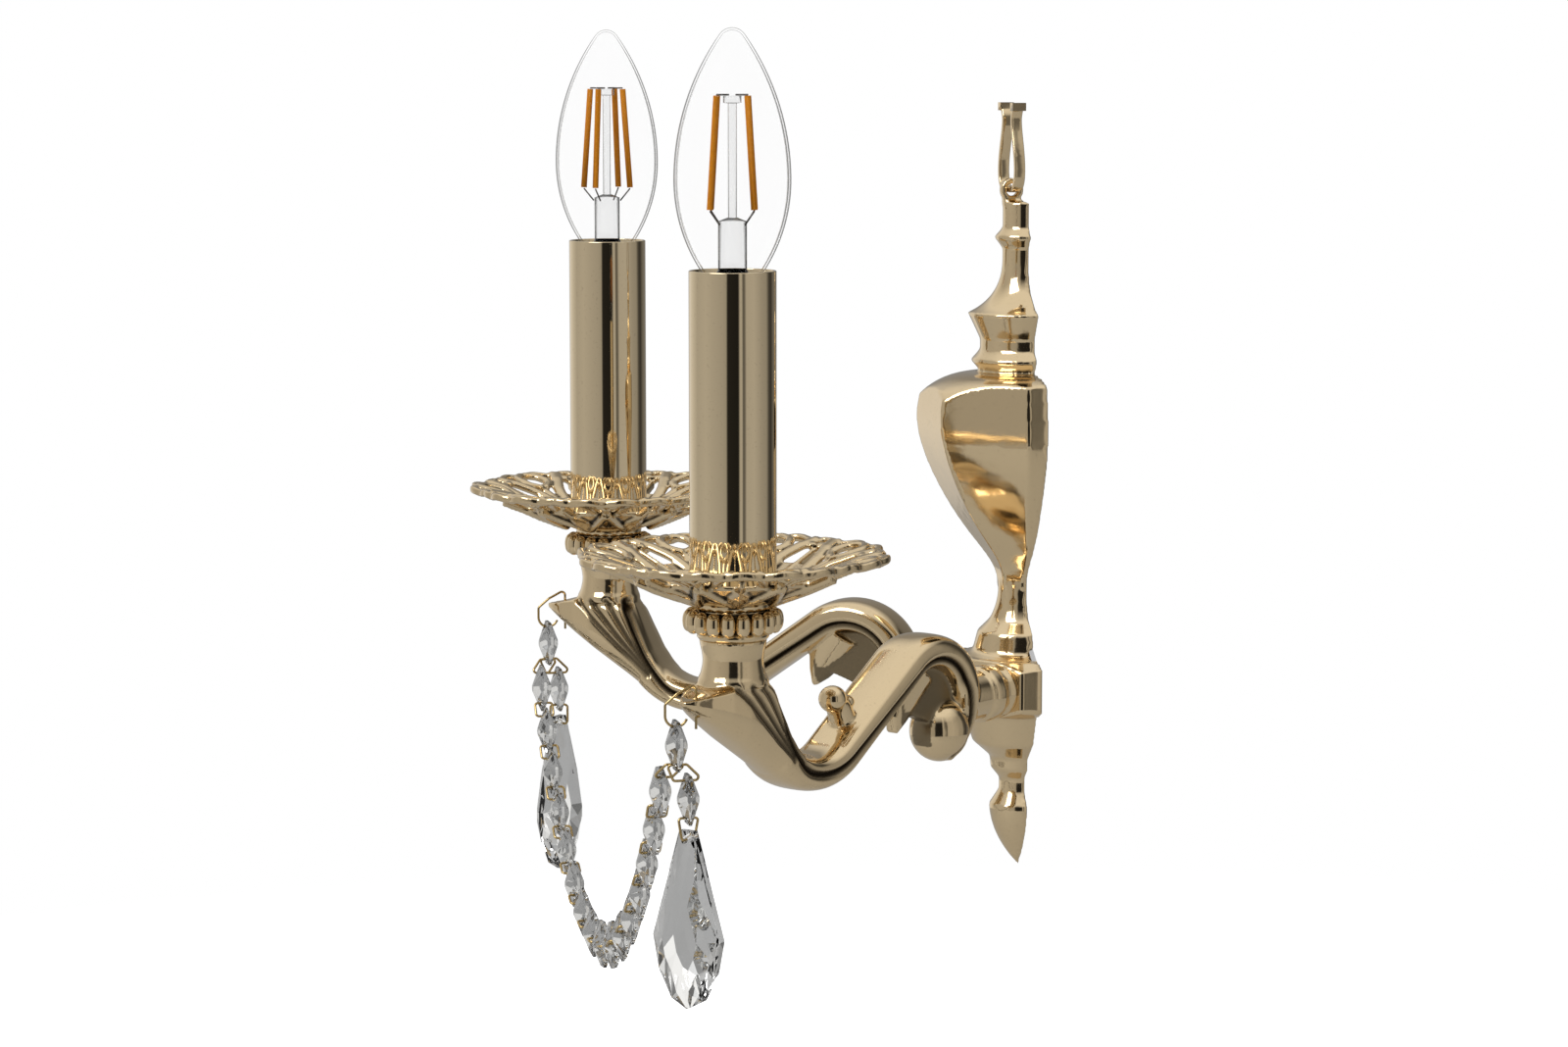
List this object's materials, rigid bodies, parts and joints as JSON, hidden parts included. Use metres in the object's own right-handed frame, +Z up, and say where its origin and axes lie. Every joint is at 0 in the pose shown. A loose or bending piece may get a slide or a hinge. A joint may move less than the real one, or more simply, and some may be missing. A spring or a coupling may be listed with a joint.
{
  "type": "wall sconce",
  "caption": "Cast brass wall light with S-scroll arms, candle sleeves with clear bulbs, leaf drip pans and a hanging crystal swag.",
  "frame": {"origin": "wall plane at the centre of the arm block", "axes": "+Z up, +Y into the wall, -Y the front, +X to the right seen from behind the front"},
  "size_m": [0.2812, 0.1676, 0.3019],
  "materials": {
    "cast_brass": "polished cast brass, pale gold, dark in the grooves",
    "polished_brass": "mirror polished brass",
    "contact_brass": "bare sheet brass",
    "pin_wire": "bright brass wire",
    "plated_steel": "zinc plated",
    "cover_steel": "lacquered sheet steel",
    "cap_metal": "bright nickel",
    "wire_sheath": "smooth cable sheath",
    "holder_plastic": "moulded thermoset",
    "terminal_plastic": "moulded nylon",
    "insulator": "black glass",
    "grommet_rubber": "soft rubber",
    "filament_resin": "amber phosphor resin",
    "bulb_glass": "clear glass",
    "crystal": "cut clear crystal"
  },
  "bodies": {
    "fixture": {"backplate": "cast_brass", "rear_cover": "cover_steel", "cover_screws": "plated_steel", "cable_grommet": "grommet_rubber", "terminal_block": "terminal_plastic", "terminal_screws": "plated_steel", "earth_screw": "plated_steel", "arm_left": "cast_brass", "arm_right": "cast_brass", "arm_wire_left": "wire_sheath", "arm_wire_right": "wire_sheath", "arm_nipple_left": "plated_steel", "arm_nipple_right": "plated_steel", "arm_nut_left": "plated_steel", "arm_nut_right": "plated_steel", "beaded_collar_left": "cast_brass", "beaded_collar_right": "cast_brass", "drip_pan_left": "cast_brass", "drip_pan_right": "cast_brass", "candle_nipple_left": "plated_steel", "candle_nipple_right": "plated_steel", "pan_nut_left": "plated_steel", "pan_nut_right": "plated_steel", "lampholder_left": "holder_plastic", "lampholder_right": "holder_plastic", "holder_shell_left": "contact_brass", "holder_shell_right": "contact_brass", "centre_contact_left": "contact_brass", "centre_contact_right": "contact_brass", "candle_sleeve_left": "polished_brass", "candle_sleeve_right": "polished_brass", "crystal_hook_left": "pin_wire", "crystal_hook_right": "pin_wire"},
    "link": {"hanging_link": "polished_brass"},
    "swag": {"swag_beads": "crystal", "swag_pins": "pin_wire", "tip_bead_left": "crystal", "tip_bead_right": "crystal"},
    "bulb_left": {"bulb_glass_left": "bulb_glass", "bulb_cap_left": "cap_metal", "cap_insulator_left": "insulator", "bulb_stem_left": "bulb_glass", "filaments_left": "filament_resin", "filament_wires_left": "cap_metal"},
    "strand_left": {"strand_bead_left": "crystal", "strand_pin_left": "pin_wire"},
    "drop_left": {"drop_left": "crystal"},
    "bulb_right": {"bulb_glass_right": "bulb_glass", "bulb_cap_right": "cap_metal", "cap_insulator_right": "insulator", "bulb_stem_right": "bulb_glass", "filaments_right": "filament_resin", "filament_wires_right": "cap_metal"},
    "strand_right": {"strand_bead_right": "crystal", "strand_pin_right": "pin_wire"},
    "drop_right": {"drop_right": "crystal"}
  },
  "joints": [
    {"name": "link_swing", "type": "hinge", "parent": "fixture", "child": "link", "pos_m": [0, -0.004, 0.1628], "axis": [1, 0, 0], "range_deg": [-3, 110]},
    {"name": "swag_swing", "type": "hinge", "parent": "fixture", "child": "swag", "pos_m": [0, -0.13976, 0.0116], "axis": [1, 0, 0], "range_deg": [-45, 20]},
    {"name": "bulb_left_lift", "type": "slide", "parent": "fixture", "child": "bulb_left", "axis": [0, 0, 1], "range_m": [0, 0.032]},
    {"name": "strand_left_swing", "type": "hinge", "parent": "swag", "child": "strand_left", "pos_m": [-0.10275, -0.13616, -0.0082], "axis": [0, 1, 0], "range_deg": [-12, 35]},
    {"name": "drop_left_swing", "type": "hinge", "parent": "strand_left", "child": "drop_left", "pos_m": [-0.10275, -0.13616, -0.026], "axis": [0.7071, 0.7071, 0], "range_deg": [-12, 35]},
    {"name": "bulb_right_lift", "type": "slide", "parent": "fixture", "child": "bulb_right", "axis": [0, 0, 1], "range_m": [0, 0.032]},
    {"name": "strand_right_swing", "type": "hinge", "parent": "swag", "child": "strand_right", "pos_m": [0.10275, -0.13616, -0.0082], "axis": [0, 1, 0], "range_deg": [-35, 12]},
    {"name": "drop_right_swing", "type": "hinge", "parent": "strand_right", "child": "drop_right", "pos_m": [0.10275, -0.13616, -0.026], "axis": [-0.7071, 0.7071, 0], "range_deg": [-35, 12]}
  ]
}
